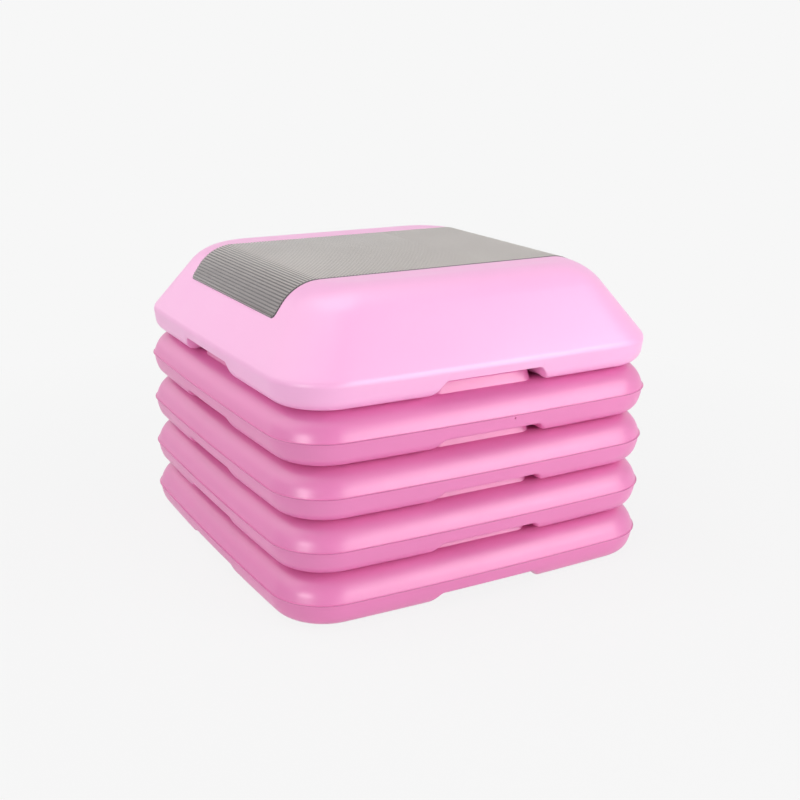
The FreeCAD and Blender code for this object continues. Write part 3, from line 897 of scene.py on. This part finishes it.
def rubber(name, colour, bloom_and_top_light, groove_and_edge_shade=None):
    """Matt rubber with a painted paler top; the last colour is painted shade in grooves and on the edge."""
    finish = Finish(name, Sheen_Weight=0.7, Sheen_Roughness=0.5)
    cloud = finish.noise(BLOOM_SCALE, detail=3)
    # Painted light: the level top of the mat is coloured paler, on top of a bloom that varies at random
    chalk_and_top_light = cloud * BLOOM_SHARE + finish.attribute("top_light") * TOP_LIGHT_SHARE
    face = finish.mix(chalk_and_top_light, colour, bloom_and_top_light)
    if groove_and_edge_shade:
        # Painted shade: the grooves and the bevelled edge are coloured darker
        face = finish.mix(finish.attribute("groove_and_edge_shade"), face, groove_and_edge_shade)
    finish.set(
        finish.shader,
        {
            "Base_Color": face,
            "Roughness": MATT + finish.noise(SCUFF_SCALE) * MATT_SPREAD,
            "Normal": finish.bump(finish.noise(PORE_SCALE, detail=1), PORE_RELIEF),
        },
    )
    return finish.material


# The pink cast of the mat's greys is painted bounce light from the pink mouldings
mat_grey = rubber("mat_grey", srgb(98, 84, 86), srgb(221, 213, 206), srgb(66, 56, 58))
foot_black = rubber("foot_black", srgb(38, 36, 38), srgb(50, 48, 50))
print("rubbers:", mat_grey.name, foot_black.name)

# %% [markdown]
# Each new piece takes its finish by name. The CAD nodes get one too: the feet are shown as they are, so
# they become black rubber, and the nodes that a new piece stands for stay hidden but are dressed alike.

# %% Give the pieces their finish
finishes = {
    "platform_moulding": platform_pink,
    "platform_shell": platform_pink,
    "ribbed_mat": mat_grey,
    "step_mat": mat_grey,
}
for name, thing in (*pieces.items(), *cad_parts.items()):
    plain = foot_black if "foot" in name else riser_pink
    thing.data.materials.clear()
    thing.data.materials.append(finishes.get(name, plain))
print("finished:", len(pieces), "pieces and", len(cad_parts), "nodes")

# %% [markdown]
# The photograph was taken against a seamless pale backdrop. Here the camera and the gloss see that
# backdrop as a plain colour, while the light that falls on the object is a dimmer, even grey. A Light
# Path node tells the two apart, so that the background stays as pale as it is without the object being
# flooded with light.

# %% Backdrop
BACKDROP = srgb(247, 247, 247)
AMBIENT = 0.08
SEEN_RAYS = ("Is Camera Ray", "Is Glossy Ray", "Is Transmission Ray")


class Backdrop(Finish):
    """Node tree of the world or the floor, with a plain colour for what the camera and the gloss see."""

    def __init__(self, holder):
        self.tree = holder.node_tree
        self.tree.nodes.clear()

    def seen(self):
        """1 for rays from the camera and for reflected or refracted rays."""
        outputs = self.node("ShaderNodeLightPath").socket.node.outputs
        camera_ray, glossy_ray, clear_ray = (Signal(self, outputs[name]) for name in SEEN_RAYS)
        return camera_ray.math("MAXIMUM", camera_ray.math("MAXIMUM", camera_ray, glossy_ray), clear_ray)

    def choose(self, factor, lit, plain, output):
        """Send the mix of two shaders to the tree's output."""
        mixed = self.node("ShaderNodeMixShader", sockets={0: factor, 1: lit, 2: plain})
        self.node(output, sockets={"Surface": mixed})


scene.world = bpy.data.worlds.new("studio")
scene.world.use_nodes = True
air = Backdrop(scene.world)
dim = air.node("ShaderNodeBackground", sockets={"Color": (1, 1, 1, 1), "Strength": AMBIENT})
pale = air.node("ShaderNodeBackground", sockets={"Color": BACKDROP, "Strength": 1})
air.choose(air.seen(), dim, pale, "ShaderNodeOutputWorld")
print("ambient light:", AMBIENT)

# %% [markdown]
# The floor is the same pale paper. Close to the object part of its colour is lit, so that it keeps a
# shadow, and further out it fades into the backdrop, so that no horizon shows behind the object.

# %% Floor
FLOOR_HALF = 15
PAPER = srgb(243, 243, 243)
SHADOW_SHARE = 0.07
FADE_START = 0.35
FADE_LENGTH = 0.5

floor_mesh = bpy.data.meshes.new("floor")
floor_form = bmesh.new()
bmesh.ops.create_grid(floor_form, x_segments=1, y_segments=1, size=FLOOR_HALF)
floor_form.to_mesh(floor_mesh)
floor_form.free()
floor = bpy.data.objects.new("floor", floor_mesh)
scene.collection.objects.link(floor)
paper = bpy.data.materials.new("paper")
paper.use_nodes = True
paper_tree = Backdrop(paper)
spot = paper_tree.node("ShaderNodeTexCoord", output="Object")
out = paper_tree.node("ShaderNodeVectorMath", {"operation": "LENGTH"}, {0: spot}, output="Value")
near = 1 - (out - FADE_START) * (1 / FADE_LENGTH)
near.socket.node.use_clamp = True
lit = paper_tree.node("ShaderNodeBsdfDiffuse", sockets={"Color": PAPER})
plain = paper_tree.node("ShaderNodeEmission", sockets={"Color": BACKDROP, "Strength": 1})
shown = paper_tree.seen() * (1 - near * SHADOW_SHARE)
paper_tree.choose(shown, lit, plain, "ShaderNodeOutputMaterial")
floor.data.materials.append(paper)
print("floor:", 2 * FLOOR_HALF, "m square")

# %% [markdown]
# Seven soft boxes light the object. The key and a long strip in front draw the bright band along the
# shoulder of every riser, and a low card beside them lifts the walls that lean under, as a white floor
# does. A strip at the near corner gives the corners their spots, wide boxes at the left and overhead fill
# the other sides, and a weak one behind keeps the far edges apart from the backdrop. Their size keeps the
# shadows soft, and their power was weighed against the photograph, one lamp at a time.

# %% Lamps
# Each lamp has its azimuth and elevation in degrees, its distance and size in metres, and its power in watts
LAMPS = {
    "key_box": (38, 29, 1.7, (1.1, 0.42), 5.8),
    "front_strip": (27, 14, 1.9, (1.45, 0.3), 9.4),
    "low_card": (25, -2, 1.6, (1.6, 0.14), 3.8),
    "corner_strip": (-61, 15, 2.3, (0.8, 0.3), 11.5),
    "left_box": (-115, 50, 2.6, (2.6, 2.6), 29),
    "back_box": (-152, 17, 2.6, (1.6, 1.0), 3),
    "top_box": (0, 88, 2.1, (1.6, 1.6), 16.5),
}

for name, (azimuth, elevation, distance, size, power) in LAMPS.items():
    lamp = bpy.data.lights.new(name, "AREA")
    lamp.shape = "RECTANGLE"
    lamp.size, lamp.size_y = size
    lamp.energy = power
    away = direction(azimuth, elevation)
    holder = bpy.data.objects.new(name, lamp)
    scene.collection.objects.link(holder)
    holder.location = AIM + away * distance
    holder.rotation_euler = (-away).to_track_quat("-Z", "Y").to_euler()
    print(name, "at", [round(value, 2) for value in holder.location], power, "W")
scene.view_settings.view_transform = "Standard"
